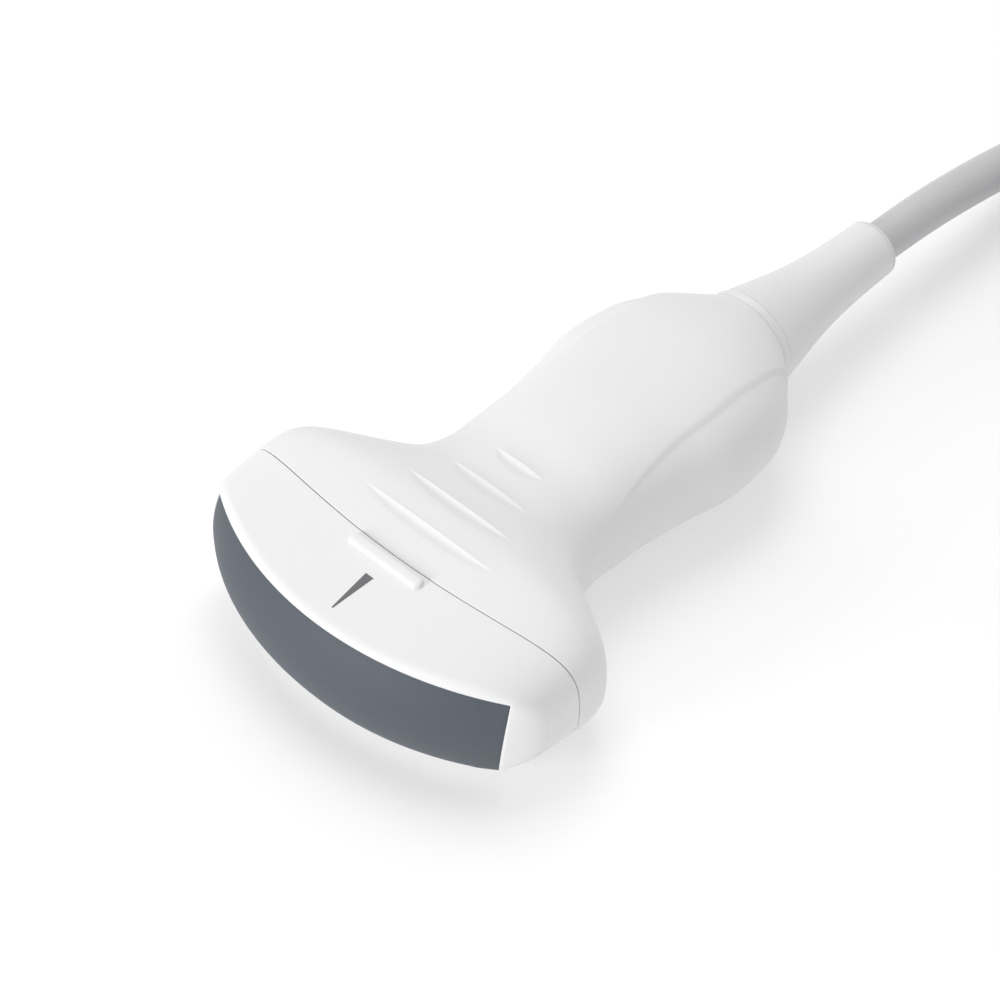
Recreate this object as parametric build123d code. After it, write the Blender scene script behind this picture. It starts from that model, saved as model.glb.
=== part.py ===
from build123d import *
import math
import os

# Convex abdominal ultrasound probe, lying on its broad side with its cable put away in a coil.
# Millimetres. The probe is built along X from its nose (x = 0 at the apex of the nose face) with its
# mid-plane at z = 0, then set on the table with its box centred over the origin.

# Lens and nose face
NOSE_RADIUS = 58.6          # plan radius of the nose face
LENS_CHORD = 67.2           # lens window, across
LENS_HEIGHT = 17.8          # lens window, at the middle
LENS_END_HEIGHT = 15.0      # lens window, at each end
LENS_CORNER = 1.0
LENS_BULGE = 2.2            # how far the lens stands proud at mid-height
LENS_SKIRT = 2.0            # depth of the lens in its window
NOSE_EDGE = 1.4             # rounding of the nose cap's front edge

# Outer form: main sections, front to back
NOSE_AT = -8.0
NOSE_WIDTH = 72.6
NOSE_THICKNESS = 17.0
HEAD_AT = 26.5
HEAD_WIDTH = 75.4
HEAD_THICKNESS = 25.2
CAP_THICKNESS = 24.7        # straight taper of the nose cap, carried back to the head section
WAIST_AT = 44.5
WAIST_WIDTH = 38.2
WAIST_THICKNESS = 22.0
GRIP_AT = 58.0
GRIP_WIDTH = 36.6
GRIP_THICKNESS = 24.4
BELLY_AT = 79.0
BELLY_WIDTH = 42.6
BELLY_THICKNESS = 24.6
TAIL_AT = 100.0
TAIL_DIAMETER = 19.4
TAIL_ROUNDING = 2.6         # power of the curve that closes the handle to its tail
HEAD_FULLNESS = 0.90        # 0.55 is an ellipse, 1 is a box
GRIP_FULLNESS = 0.70
ROUND_FULLNESS = 0.5523

# Moulded walls and joints
WALL = 2.2
FIT = 0.15                  # clearance of bonded and sliding fits
SEAM_AT = 18.4              # nose cap to handle, on the mid-line
SEAM_RADIUS = 171.0         # the seam is bowed forward in plan
SEAM_GAP = 0.3
SEAL_INSET = 0.45           # the seal lies below the skin and shows as a fine dark line
SPIGOT_WALL = 1.2
SPIGOT_LENGTH = 3.0
TONGUE_HEIGHT = 0.8         # tongue of the upper shell in the lower one
TONGUE_WALL = 0.6
TAIL_WALL = 4.6

# Features of the moulded skin
BAR_LENGTH = 17.0           # raised orientation bar
BAR_WIDTH = 2.2
BAR_PROUD = 0.9
BAR_TO_SEAM = 2.8
RIDGE_COUNT = 4             # grip ridges, on the top and on the underside
RIDGE_AT = 25.6
RIDGE_PITCH = 7.1
RIDGE_LENGTH = 27.8         # of the longest
RIDGE_STEP = 6.0            # each is shorter than the one before
RIDGE_PROUD = 0.65
RIDGE_RAMP = 5.5            # length of the soft front slope
RIDGE_ROOT = 0.5            # depth of its root in the wall
SIDE_LEAF_AT = 73.0         # shallow leaf on each side of the handle
SIDE_LEAF_LENGTH = 53.0
SIDE_LEAF_HEIGHT = 20.0
SIDE_LEAF_DEPTH = 0.42

# Acoustic stack, front to back
ARRAY_HEIGHT = 12.4
ARRAY_HALF_ANGLE = 32.0
POCKET_PROUD = 0.4          # the stack reaches into the lens
MATCHING_THICKNESS = 0.3
PIEZO_THICKNESS = 0.5
BACKING_DEPTH = 9.3
CARRIER_DEPTH = 3.0
CARRIER_PLATE = 4.0
CARRIER_LENGTH = 31.0
CARRIER_WIDTH = 60.0
CARRIER_SCREW_AT = 27.2
CARRIER_SCREW_SPACING = 52.0

# Circuits
FLEX_THICKNESS = 0.2
FLEX_WIDTH = 21.0
FLEX_LAP = 6.0
BOARD_AT = 46.0
BOARD_LENGTH = 38.0
BOARD_WIDTH = 23.0
BOARD_THICKNESS = 1.2
BOARD_SCREW_FRONT = 11.0    # from the front edge of the boards
BOARD_SCREW_REAR = 34.0
BOARD_SCREW_SPACING = 17.0
SPACER_DIAMETER = 4.0
FANOUT_LENGTH = 18.0
FANOUT_WIDTH = 13.0

# Screws
SCREW_DIAMETER = 2.0
SCREW_HEAD = 3.8
SCREW_HEAD_HEIGHT = 1.3
SCREW_GRIP = 2.2            # engaged length
BOSS_DIAMETER = 5.0

# Cable and its anchorage in the tail
CABLE_DIAMETER = 7.6
CABLE_END_AT = 88.0
FERRULE_DIAMETER = 9.8
FERRULE_LENGTH = 4.6
CLAMP_LENGTH = 3.6
CLAMP_WIDTH = 26.0
CLAMP_WALL = 2.2
CLAMP_SCREW_SPACING = 20.0
BOOT_FLANGE = 16.4
BOOT_FLANGE_LENGTH = 2.0
BOOT_NECK = 12.8
COLLAR_LENGTH = 1.8
COLLAR_GROOVE = 0.25
BOOT_LENGTH = 30.7
BOOT_END_DIAMETER = 11.4
BOOT_END_ROUNDING = 1.2

# Put-away coil, its tie and the connector
COIL_RADIUS = 39.5          # at the middle of the turns
COIL_TURNS_WIDE = 2
COIL_TURNS_HIGH = 3
TIE_WIDTH = 10.0
TIE_THICKNESS = 0.8
RUN_IN = 2.0                # from the end of the cable's route to the coil's middle
STUB_LENGTH = 8.0           # straight length of cable that counts as coil
LEAD_ANGLE = 247.5          # where the lead leaves the coil, from +X
LEAD_SHIFT = 7.5            # sideways, while it runs back beside the coil
LEAD_END = 17.5             # straight length into the connector
PLUG_BOOT_LENGTH = 10.0
PLUG_BOOT_DIAMETER = 11.6
PLUG_BOOT_TIP = 9.4
PLUG_LENGTH = 28.0
PLUG_WIDTH = 30.0
PLUG_WALL = 2.0
PLUG_ROUNDING = 3.0
SHROUD_REACH = 6.0
SHROUD_WIDTH = 22.0
SHROUD_HEIGHT = 15.0
SHROUD_WALL = 1.0
SHROUD_FLANGE = 1.6
CONTACT_ROWS = 4
CONTACT_COLUMNS = 8
CONTACT_PITCH = 2.4
CONTACT_SIZE = 0.9
CONTACT_HEIGHT = 0.4

# Worked out from the sizes above
NOSE_CENTRE = Pos(NOSE_RADIUS, 0, 0)
BOOT_AT = TAIL_AT + COLLAR_LENGTH
BOOT_END = BOOT_AT + BOOT_LENGTH
LENGTH = BOOT_END + LENS_BULGE
CAVITY_INSET = WALL + FIT + SPIGOT_WALL
TAIL_INNER = TAIL_AT - TAIL_WALL
BIG = 400.0


def mix(a, b, t):
    return a + (b - a) * t


def between(a, b, t, share):
    """Section at a fraction t of the way from a to b, with a share of the change of shape."""
    return (mix(a[0], b[0], t),) + tuple(mix(u, v, share) for u, v in zip(a[1:], b[1:]))


def halved(sections):
    return [(at, width / 2, height / 2, full) for at, width, height, full in sections]


def cap_sections():
    """Nose cap: place, half-width, half-height and fullness of its two sections."""
    return halved([(NOSE_AT, NOSE_WIDTH, NOSE_THICKNESS, HEAD_FULLNESS),
                   (HEAD_AT, HEAD_WIDTH, CAP_THICKNESS, HEAD_FULLNESS)])


def handle_sections():
    """Handle, from just ahead of the seam to the tail."""
    nose = (NOSE_AT, NOSE_WIDTH, NOSE_THICKNESS, HEAD_FULLNESS)
    head = (HEAD_AT, HEAD_WIDTH, HEAD_THICKNESS, HEAD_FULLNESS)
    waist = (WAIST_AT, WAIST_WIDTH, WAIST_THICKNESS, GRIP_FULLNESS)
    grip = (GRIP_AT, GRIP_WIDTH, GRIP_THICKNESS, GRIP_FULLNESS)
    belly = (BELLY_AT, BELLY_WIDTH, BELLY_THICKNESS, GRIP_FULLNESS)
    tail = (TAIL_AT, TAIL_DIAMETER, TAIL_DIAMETER, ROUND_FULLNESS)
    closing = [between(belly, tail, t, t**TAIL_ROUNDING) for t in (0.48, 0.81)]
    return halved([between(nose, head, 0.74, 0.74), head, between(head, waist, 0.5, 0.5), waist, grip, belly]
                  + closing + [tail])


def half_section(at, w, h, full):
    """Upper half of one section: two cubic quarter curves closed by the mid-plane."""
    def quarter(*yz):
        return Edge.make_bezier(*[Vector(at, y, z) for y, z in yz])

    return Wire([
        quarter((w, 0), (w, full * h), (full * w, h), (0, h)),
        quarter((0, h), (-full * w, h), (-w, full * h), (-w, 0)),
        Edge.make_line(Vector(at, -w, 0), Vector(at, w, 0)),
    ])


def half_form(sections, inset):
    """Upper half of a form, with each section drawn in by its inset."""
    rings = [half_section(at, w - inset(at), h - inset(at), full) for at, w, h, full in sections]
    return Solid.make_loft(rings)


def cap_form(depth):
    return half_form(cap_sections(), lambda at: depth)


def handle_form(depth):
    return half_form(handle_sections(), lambda at: depth)


def whole(half):
    """The half joined to its mirror image below the mid-plane."""
    return half + half.mirror(Plane.XY)


def behind(at, radius):
    """Everything behind an upright cylinder wall whose front is at this place."""
    y = HEAD_WIDTH / 2 + WALL
    edge = at + radius - math.sqrt(radius**2 - y**2)
    outline = [
        ThreePointArc((edge, -y), (at, 0), (edge, y)),
        Polyline((edge, y), (BIG, y), (BIG, -y), (edge, -y)),
    ]
    return extrude(make_face(outline), BIG, both=True)


def block(x0, x1, y0, y1, z0, z1):
    return Pos((x0 + x1) / 2, (y0 + y1) / 2, (z0 + z1) / 2) * Box(x1 - x0, y1 - y0, z1 - z0)


def rod(x0, x1, diameter, y=0, z=0):
    """Round bar along X."""
    return Pos((x0 + x1) / 2, y, z) * Rot(0, 90, 0) * Cylinder(diameter / 2, x1 - x0)


def post(x, y, z0, z1, diameter):
    """Round bar along Z."""
    return Pos(x, y, (z0 + z1) / 2) * Cylinder(diameter / 2, z1 - z0)


# Lens and acoustic stack
def about_nose(profile, half_angle):
    """A profile on the mid-plane y = 0 carried round the nose centre to both sides."""
    turned = NOSE_CENTRE * Rot(0, 0, -half_angle) * NOSE_CENTRE.inverse() * profile
    return revolve(turned, Axis((NOSE_RADIUS, 0, 0), (0, 0, 1)), 2 * half_angle)


def layer(outer, inner, height, half_angle):
    """One layer of the stack, between two radii about the nose centre."""
    middle = NOSE_RADIUS - (outer + inner) / 2
    return about_nose(Plane.XZ * Pos(middle, 0) * Rectangle(outer - inner, height), half_angle)


def window(depth):
    """Lens window: slightly arched top and bottom edges, cut back to a depth behind the face."""
    y, z, end = LENS_CHORD / 2, LENS_HEIGHT / 2, LENS_END_HEIGHT / 2
    outline = [
        ThreePointArc((-y, end), (0, z), (y, end)),
        Line((y, end), (y, -end)),
        ThreePointArc((y, -end), (0, -z), (-y, -end)),
        Line((-y, -end), (-y, end)),
    ]
    face = make_face(outline)
    face = fillet(face.vertices(), LENS_CORNER)
    prism = extrude(Plane.YZ * face, NOSE_RADIUS, both=True)
    return prism - NOSE_CENTRE * Cylinder(NOSE_RADIUS - depth, BIG)


def acoustic_lens():
    """Silicone lens: a bulged profile carried round the nose, with a pocket for the stack."""
    z = LENS_HEIGHT / 2
    back = LENS_SKIRT + 1
    outline = [
        ThreePointArc((0, -z), (-LENS_BULGE, 0), (0, z)),
        Polyline((0, z), (back, z), (back, -z), (0, -z)),
    ]
    bulged = about_nose(Plane.XZ * make_face(outline), ARRAY_HALF_ANGLE + 10)
    stack = layer(NOSE_RADIUS + POCKET_PROUD, NOSE_RADIUS - 2 * back, ARRAY_HEIGHT, ARRAY_HALF_ANGLE)
    return (bulged & window(LENS_SKIRT)) - stack


def stack_radii():
    """Front radius of each layer, front to back, and the carrier's back radius."""
    depths = [MATCHING_THICKNESS, MATCHING_THICKNESS, PIEZO_THICKNESS, BACKING_DEPTH, CARRIER_DEPTH]
    radii = [NOSE_RADIUS + POCKET_PROUD]
    for depth in depths:
        radii.append(radii[-1] - depth)
    return radii


def array_carrier():
    """Metal frame behind the backing, with a plate that is screwed to the lower shell."""
    front, back = stack_radii()[-2:]
    side, top = CARRIER_WIDTH / 2, CARRIER_PLATE / 2
    plate = block(0, CARRIER_LENGTH, -side, side, -top, top)
    plate = plate & NOSE_CENTRE * Cylinder((front + back) / 2, CARRIER_PLATE)
    for x, y in carrier_screw_places():
        plate -= post(x, y, -CARRIER_PLATE, CARRIER_PLATE, SCREW_DIAMETER + 2 * FIT)
    return layer(front, back, ARRAY_HEIGHT, ARRAY_HALF_ANGLE) + plate


def carrier_screw_places():
    return [(CARRIER_SCREW_AT, side * CARRIER_SCREW_SPACING / 2) for side in (-1, 1)]


# Circuits
def upper_flex():
    """Flexible circuit from behind the lens, over the backing, to the upper board."""
    front = NOSE_RADIUS - LENS_SKIRT - FIT
    half = math.radians(ARRAY_HALF_ANGLE)
    x_end, y_end = NOSE_RADIUS - front * math.cos(half), front * math.sin(half)
    tail = BOARD_AT + FLEX_LAP
    outline = [
        ThreePointArc((x_end, -y_end), (NOSE_RADIUS - front, 0), (x_end, y_end)),
        Polyline((x_end, y_end), (BOARD_AT, FLEX_WIDTH / 2), (tail, FLEX_WIDTH / 2),
                 (tail, -FLEX_WIDTH / 2), (BOARD_AT, -FLEX_WIDTH / 2), (x_end, -y_end)),
    ]
    return extrude(Pos(0, 0, ARRAY_HEIGHT / 2) * make_face(outline), FLEX_THICKNESS)


def board_screw_places():
    fronts = (BOARD_AT + BOARD_SCREW_FRONT, BOARD_AT + BOARD_SCREW_REAR)
    return [(x, side * BOARD_SCREW_SPACING / 2) for x in fronts for side in (-1, 1)]


def upper_board():
    top = ARRAY_HEIGHT / 2
    side = BOARD_WIDTH / 2
    board = block(BOARD_AT, BOARD_AT + BOARD_LENGTH, -side, side, top - BOARD_THICKNESS, top)
    for x, y in board_screw_places():
        board -= post(x, y, 0, ARRAY_HEIGHT, SCREW_DIAMETER + 2 * FIT)
    return board


def board_spacers():
    reach = ARRAY_HEIGHT / 2 - BOARD_THICKNESS
    return [post(x, y, -reach, reach, SPACER_DIAMETER)
            - post(x, y, -reach, reach, SCREW_DIAMETER + 2 * FIT) for x, y in board_screw_places()]


def coax_fanout():
    """Bundle of fine coaxial wires, flat between the boards and round at the cable."""
    half_height = ARRAY_HEIGHT / 2 - BOARD_THICKNESS - FIT
    flat = Plane.YZ.offset(CABLE_END_AT - FANOUT_LENGTH) * RectangleRounded(FANOUT_WIDTH, 2 * half_height, 2)
    end = Plane.YZ.offset(CABLE_END_AT) * Circle(CABLE_DIAMETER / 2 - 0.6)
    return loft([flat, end])


def screw(x, y, seat, length):
    """Pan-head screw, driven down from its seat."""
    shank = post(x, y, seat - length, seat, SCREW_DIAMETER)
    head = post(x, y, seat, seat + SCREW_HEAD_HEIGHT, SCREW_HEAD)
    return shank + fillet(head.edges().group_by(Axis.Z)[-1], SCREW_HEAD_HEIGHT / 2)


# Moulded housing
def orientation_bar():
    """Raised bar ahead of the seam, with rounded ends and a softened top."""
    at = SEAM_AT - BAR_TO_SEAM
    foot = section_at(cap_sections(), at)[1] - WALL / 2
    bar = extrude(Pos(at, 0, foot) * Rot(0, 0, 90) * SlotOverall(BAR_LENGTH, BAR_WIDTH), WALL / 2 + BAR_PROUD)
    return fillet(bar.edges().group_by(Axis.Z)[-1], BAR_WIDTH / 5)


def nose_cap():
    """Nose moulding: lens window, rounded front edge and a spigot that enters the handle."""
    skin = (cap_form(0) & behind(0, NOSE_RADIUS)) - behind(SEAM_AT, SEAM_RADIUS)
    face = skin.faces().filter_by(GeomType.CYLINDER).sort_by(Axis.X)[0]
    rim = [edge for edge in face.edges() if edge.center().Z > 0.1]
    skin = fillet(rim, NOSE_EDGE)
    spigot = cap_form(WALL + FIT) & behind(SEAM_AT - SPIGOT_LENGTH, SEAM_RADIUS)
    spigot -= behind(SEAM_AT + SPIGOT_LENGTH, SEAM_RADIUS)
    spigot_front = behind(SEAM_AT - SPIGOT_LENGTH, SEAM_RADIUS)
    front_hollow = (cap_form(WALL) & behind(LENS_SKIRT / 2, NOSE_RADIUS)) - spigot_front
    cap = whole(skin + spigot - front_hollow - (cap_form(CAVITY_INSET) & behind(LENS_SKIRT, NOSE_RADIUS)))
    return cap - window(LENS_SKIRT) + orientation_bar()


def seam_seal():
    """Bead of sealant between the nose cap and the handle, just below the skin."""
    slab = behind(SEAM_AT, SEAM_RADIUS) - behind(SEAM_AT + SEAM_GAP, SEAM_RADIUS)
    return whole((cap_form(SEAL_INSET) & slab) - cap_form(WALL))


def side_leaf(at):
    """Depth of the side leaf along the handle: it fades out towards the neck."""
    front = SIDE_LEAF_AT - SIDE_LEAF_LENGTH / 2
    fade = min(1.0, max(0.0, (at - front) / (SIDE_LEAF_LENGTH / 2)))
    return SIDE_LEAF_DEPTH * mix(0.3, 1.0, fade)


def section_at(sections, at):
    """Half-width, half-height and fullness at a place, straight between sections."""
    for front, back in zip(sections, sections[1:]):
        if front[0] <= at <= back[0]:
            t = (at - front[0]) / (back[0] - front[0])
            return [mix(u, v, t) for u, v in zip(front[1:], back[1:])]


def crown_drop(at, y):
    """How far the top of the handle falls away at a distance from its mid-line."""
    w, h, full = section_at(handle_sections(), at)
    return (1 - full) * h * y * y / (3 * full * full * w * w)


def grip_ridge(number):
    """Crescent ridge: a soft ramp up to a crisp rear edge, arched so that its ends sink away."""
    at = RIDGE_AT + number * RIDGE_PITCH
    half = (RIDGE_LENGTH - number * RIDGE_STEP) / 2
    crest = section_at(handle_sections(), at)[1] + RIDGE_PROUD
    drop = RIDGE_PROUD + crown_drop(at, half)
    radius = (half * half + drop * drop) / (2 * drop)
    foot = crest - 2 * RIDGE_PROUD - RIDGE_ROOT
    outline = Polyline((at, crest), (at, foot), (at - RIDGE_RAMP, foot),
                       (at - RIDGE_RAMP, crest - 2 * RIDGE_PROUD), close=True)
    axis = Axis((0, 0, crest - radius), (1, 0, 0))
    reach = math.degrees(math.asin(half / radius)) * 1.08
    start = Pos(0, 0, crest - radius) * Rot(-reach, 0, 0) * Pos(0, 0, radius - crest)
    return revolve(start * (Plane.XZ * make_face(outline)), axis, 2 * reach)


def handle_half():
    """One handle shell: skin with side leaf and grip ridges, hollowed, with its half of the tail bore."""
    skin = handle_form(0) & behind(SEAM_AT + SEAM_GAP, SEAM_RADIUS)
    outline = Plane.XZ * Pos(SIDE_LEAF_AT, 0) * Ellipse(SIDE_LEAF_LENGTH / 2, SIDE_LEAF_HEIGHT / 2)
    leaf = extrude(outline, HEAD_WIDTH, both=True)
    skin -= leaf - half_form(handle_sections(), side_leaf)
    for number in range(RIDGE_COUNT):
        skin += grip_ridge(number)
    hollow = handle_form(WALL) - block(TAIL_INNER, BIG, -BIG, BIG, -BIG, BIG)
    return skin - hollow - rod(TAIL_INNER - 1, TAIL_AT + 1, BOOT_NECK + 2 * FIT)


def tongue_ring(clearance):
    """Rib along the joint of the two shells, below the mid-plane."""
    inset = WALL / 2
    ring = handle_form(inset - clearance) - handle_form(inset + TONGUE_WALL + clearance)
    ring = ring.mirror(Plane.XY) & behind(SEAM_AT + 2 * SPIGOT_LENGTH, SEAM_RADIUS)
    return ring & block(0, TAIL_INNER, -BIG, BIG, -TONGUE_HEIGHT - clearance, 0)


def clamp_span():
    """Front and back of the cable clamp, over the middle of the ferrule."""
    middle = CABLE_END_AT + FIT + FERRULE_LENGTH / 2
    return middle - CLAMP_LENGTH / 2, middle + CLAMP_LENGTH / 2


def clamp_screw_places():
    return [(sum(clamp_span()) / 2, side * CLAMP_SCREW_SPACING / 2) for side in (-1, 1)]


def lower_shell():
    """Lower handle shell: groove, bosses for carrier and boards, and the cradle of the cable clamp."""
    shell = handle_half().mirror(Plane.XY) - tongue_ring(FIT)
    inside = handle_form(WALL / 2).mirror(Plane.XY)
    front, back = clamp_span()
    cradle = block(front, back, -CLAMP_WIDTH / 2, CLAMP_WIDTH / 2, -HEAD_THICKNESS, 0) & inside
    shell += cradle - rod(front - 1, back + 1, FERRULE_DIAMETER + FIT)
    seats = [(x, y, -CARRIER_PLATE / 2) for x, y in carrier_screw_places()]
    seats += [(x, y, -ARRAY_HEIGHT / 2) for x, y in board_screw_places()]
    for x, y, top in seats:
        shell += post(x, y, -HEAD_THICKNESS, top, BOSS_DIAMETER) & inside
    seats += [(x, y, 0) for x, y in clamp_screw_places()]
    for x, y, top in seats:
        shell -= post(x, y, top - SCREW_GRIP - FIT, top + FIT, SCREW_DIAMETER + FIT)
    return shell


def upper_shell():
    return handle_half() + tongue_ring(0)


# Cable anchorage and boot
def cable_ferrule():
    front = CABLE_END_AT + FIT
    back = front + FERRULE_LENGTH
    return rod(front, back, FERRULE_DIAMETER) - rod(front - 1, back + 1, CABLE_DIAMETER + FIT)


def cable_clamp():
    """Saddle over the ferrule, screwed down on the cradle."""
    front, back = clamp_span()
    half = CLAMP_WIDTH / 2
    saddle = rod(front, back, FERRULE_DIAMETER + 2 * CLAMP_WALL) & block(0, BIG, -half, half, 0, BIG)
    saddle += block(front, back, -half, half, 0, CLAMP_WALL)
    saddle -= rod(front - 1, back + 1, FERRULE_DIAMETER + FIT)
    for x, y in clamp_screw_places():
        saddle -= post(x, y, -1, CLAMP_WALL + 1, SCREW_DIAMETER + 2 * FIT)
    return saddle


def tail_collar():
    """Ring between the handle and the boot, with softened edges that read as two fine grooves."""
    ring = rod(TAIL_AT, BOOT_AT, TAIL_DIAMETER)
    ring = fillet(ring.edges(), COLLAR_GROOVE)
    return ring - rod(TAIL_AT - 1, BOOT_AT + 1, BOOT_NECK + 2 * FIT)


def strain_relief_boot():
    """Moulded boot: flange inside the tail, neck through it, and a flared taper to the cable."""
    bore = (CABLE_DIAMETER + FIT) / 2
    flange, neck = BOOT_FLANGE / 2, BOOT_NECK / 2
    base, end = TAIL_DIAMETER / 2, BOOT_END_DIAMETER / 2
    flange_back = TAIL_INNER - FIT
    flange_front = flange_back - BOOT_FLANGE_LENGTH
    tip = BOOT_END - BOOT_END_ROUNDING
    inside = Polyline((BOOT_END, end - BOOT_END_ROUNDING), (BOOT_END, bore), (flange_front, bore),
                      (flange_front, flange), (flange_back, flange), (flange_back, neck),
                      (BOOT_AT, neck), (BOOT_AT, base))
    flare = Bezier((BOOT_AT, base), (mix(BOOT_AT, tip, 0.33), mix(base, end, 0.72)),
                   (mix(BOOT_AT, tip, 0.5), end), (tip, end))
    lip = RadiusArc((tip, end), (BOOT_END, end - BOOT_END_ROUNDING), BOOT_END_ROUNDING)
    return revolve(Plane.XZ * make_face([inside, flare, lip]), Axis.X)


# Free cable, its coil and the connector, placed on the table
LIFT = section_at(handle_sections(), RIDGE_AT)[1] + RIDGE_PROUD     # the probe rests on its first ridge
TO_TABLE = Pos(LENS_BULGE - LENGTH / 2, 0, LIFT)
EXIT_X = LENGTH / 2
COIL_AXIS = TIE_THICKNESS + CABLE_DIAMETER / 2          # height of the coil's lower turns
PLUG_AXIS = COIL_AXIS + CABLE_DIAMETER                  # the lead leaves from the second layer
CABLE_ROUTE = [(0, LIFT), (12.6, LIFT), (30.0, LIFT - 2.4), (43.0, LIFT - 5.2), (55.5, COIL_AXIS),
               (67.8, COIL_AXIS)]
COIL_X = EXIT_X + CABLE_ROUTE[-1][0] + RUN_IN
OUTER_TURN = COIL_RADIUS + (COIL_TURNS_WIDE - 1) / 2 * CABLE_DIAMETER
COIL_WIDTH = COIL_TURNS_WIDE * CABLE_DIAMETER
COIL_HEIGHT = COIL_TURNS_HIGH * CABLE_DIAMETER


def tube_along(points, start_dir):
    """Cable through a route, with the largest arcs that its runs allow. Prints radii and volume."""
    radii = []
    for a, b, c in zip(points, points[1:], points[2:]):
        turn = math.radians((b - a).get_angle(c - b))
        radii.append(0.45 * min((b - a).length, (c - b).length) / math.tan(turn / 2))
    print("cable radii", [round(r, 1) for r in radii])
    path = FilletPolyline(*points, radius=radii)
    tube = sweep(Plane(points[0], z_dir=start_dir) * Circle(CABLE_DIAMETER / 2), path)
    section = math.pi * CABLE_DIAMETER**2 / 4
    print("cable volume / (section x length)", round(tube.volume / (section * path.length), 4))
    return tube


def cable():
    """Free length of cable from the boot down to the table, as far as the coil's side."""
    tube = tube_along([Vector(EXIT_X + x, 0, z) for x, z in CABLE_ROUTE], (1, 0, 0))
    return tube - block(COIL_X - STUB_LENGTH, COIL_X, -BIG, BIG, -BIG, BIG) - coil_ring()


def lead_route():
    """Points of the lead: off the coil along its tangent, then back along -X beside it to the connector."""
    angle = math.radians(LEAD_ANGLE)
    heading = Vector(math.sin(angle), -math.cos(angle), 0)
    leave = Vector(COIL_X + OUTER_TURN * math.cos(angle), OUTER_TURN * (math.sin(angle) - 1), PLUG_AXIS)
    bend = leave + heading * (LEAD_SHIFT / heading.Y)
    return [leave, bend, bend - Vector(LEAD_END, 0, 0)]


def coil_ring():
    """Outer shape of the tied turns."""
    middle = TIE_THICKNESS + COIL_HEIGHT / 2
    profile = Plane.XZ * Pos(COIL_X + COIL_RADIUS, middle) * RectangleRounded(
        COIL_WIDTH, COIL_HEIGHT, CABLE_DIAMETER / 2 - FIT)
    return Pos(0, -OUTER_TURN, 0) * revolve(profile, Axis((COIL_X, 0, 0), (0, 0, 1)))


def cable_coil():
    """The tied turns, with the lengths that run into and out of them."""
    coil = coil_ring() + rod(COIL_X - STUB_LENGTH, COIL_X, CABLE_DIAMETER, z=COIL_AXIS)
    route = lead_route()
    return coil + tube_along(route, route[1] - route[0])


def coil_tie():
    """Flat strap round the turns, on the side away from the cable's entry."""
    half = TIE_WIDTH / 2
    inner_turn_edge = COIL_RADIUS - COIL_WIDTH / 2
    near = math.sqrt(inner_turn_edge**2 - half**2) - FIT
    far = COIL_RADIUS + COIL_WIDTH / 2 + FIT
    t = TIE_THICKNESS
    top = 2 * t + COIL_HEIGHT
    strap = block(COIL_X - half, COIL_X + half, -OUTER_TURN - far - t, -OUTER_TURN - near + t, 0, top + FIT)
    strap = fillet(strap.edges().filter_by(Axis.X), CABLE_DIAMETER / 2)
    inside = block(COIL_X - half, COIL_X + half, -OUTER_TURN - far, -OUTER_TURN - near, t, top - t + FIT)
    return strap - fillet(inside.edges().filter_by(Axis.X), CABLE_DIAMETER / 2 - t)


def plug_span():
    """Back and front of the connector's body, from the tip of its boot."""
    return PLUG_BOOT_LENGTH, PLUG_BOOT_LENGTH + PLUG_LENGTH


def connector_boot():
    taper = Cone(PLUG_BOOT_TIP / 2, PLUG_BOOT_DIAMETER / 2, PLUG_BOOT_LENGTH)
    return Pos(PLUG_BOOT_LENGTH / 2, 0, PLUG_AXIS) * Rot(0, 90, 0) * taper


def on_plug(x0, x1, width, height):
    """Block centred on the connector's axis."""
    return block(x0, x1, -width / 2, width / 2, PLUG_AXIS - height / 2, PLUG_AXIS + height / 2)


def plug_body():
    """Hollow body of the connector with rounded edges, open at the front for the shroud."""
    back, front = plug_span()
    height = 2 * PLUG_AXIS
    body = on_plug(back, front, PLUG_WIDTH, height)
    body = fillet(body.edges().filter_by(Axis.X), PLUG_ROUNDING)
    body = fillet(body.edges().group_by(Axis.X)[0] + body.edges().group_by(Axis.X)[-1], PLUG_ROUNDING / 3)
    body -= on_plug(back + PLUG_WALL, front - PLUG_WALL, PLUG_WIDTH - 2 * PLUG_WALL, height - 2 * PLUG_WALL)
    return body - on_plug(front - 2 * PLUG_WALL, front + 1, SHROUD_WIDTH + 2 * FIT, SHROUD_HEIGHT + 2 * FIT)


def connector_lower_shell():
    return plug_body() & block(0, BIG, -BIG, BIG, -BIG, PLUG_AXIS)


def connector_upper_shell():
    return plug_body() & block(0, BIG, -BIG, BIG, PLUG_AXIS, BIG)


def connector_shroud():
    """Metal shroud round the contacts, held behind the front wall by its flange."""
    front = plug_span()[1]
    seat = front - PLUG_WALL
    start = seat - SHROUD_FLANGE
    tube = on_plug(start, front + SHROUD_REACH, SHROUD_WIDTH, SHROUD_HEIGHT)
    tube = fillet(tube.edges().filter_by(Axis.X), SHROUD_WALL)
    tube += on_plug(start, seat, SHROUD_WIDTH + 2 * SHROUD_FLANGE, SHROUD_HEIGHT + 2 * SHROUD_FLANGE)
    return tube - on_plug(start - 1, front + SHROUD_REACH + 1, *shroud_opening())


def shroud_opening():
    return SHROUD_WIDTH - 2 * SHROUD_WALL, SHROUD_HEIGHT - 2 * SHROUD_WALL


def contact_block():
    front = plug_span()[1]
    return on_plug(front - PLUG_WALL - SHROUD_FLANGE, front, *shroud_opening())


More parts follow.
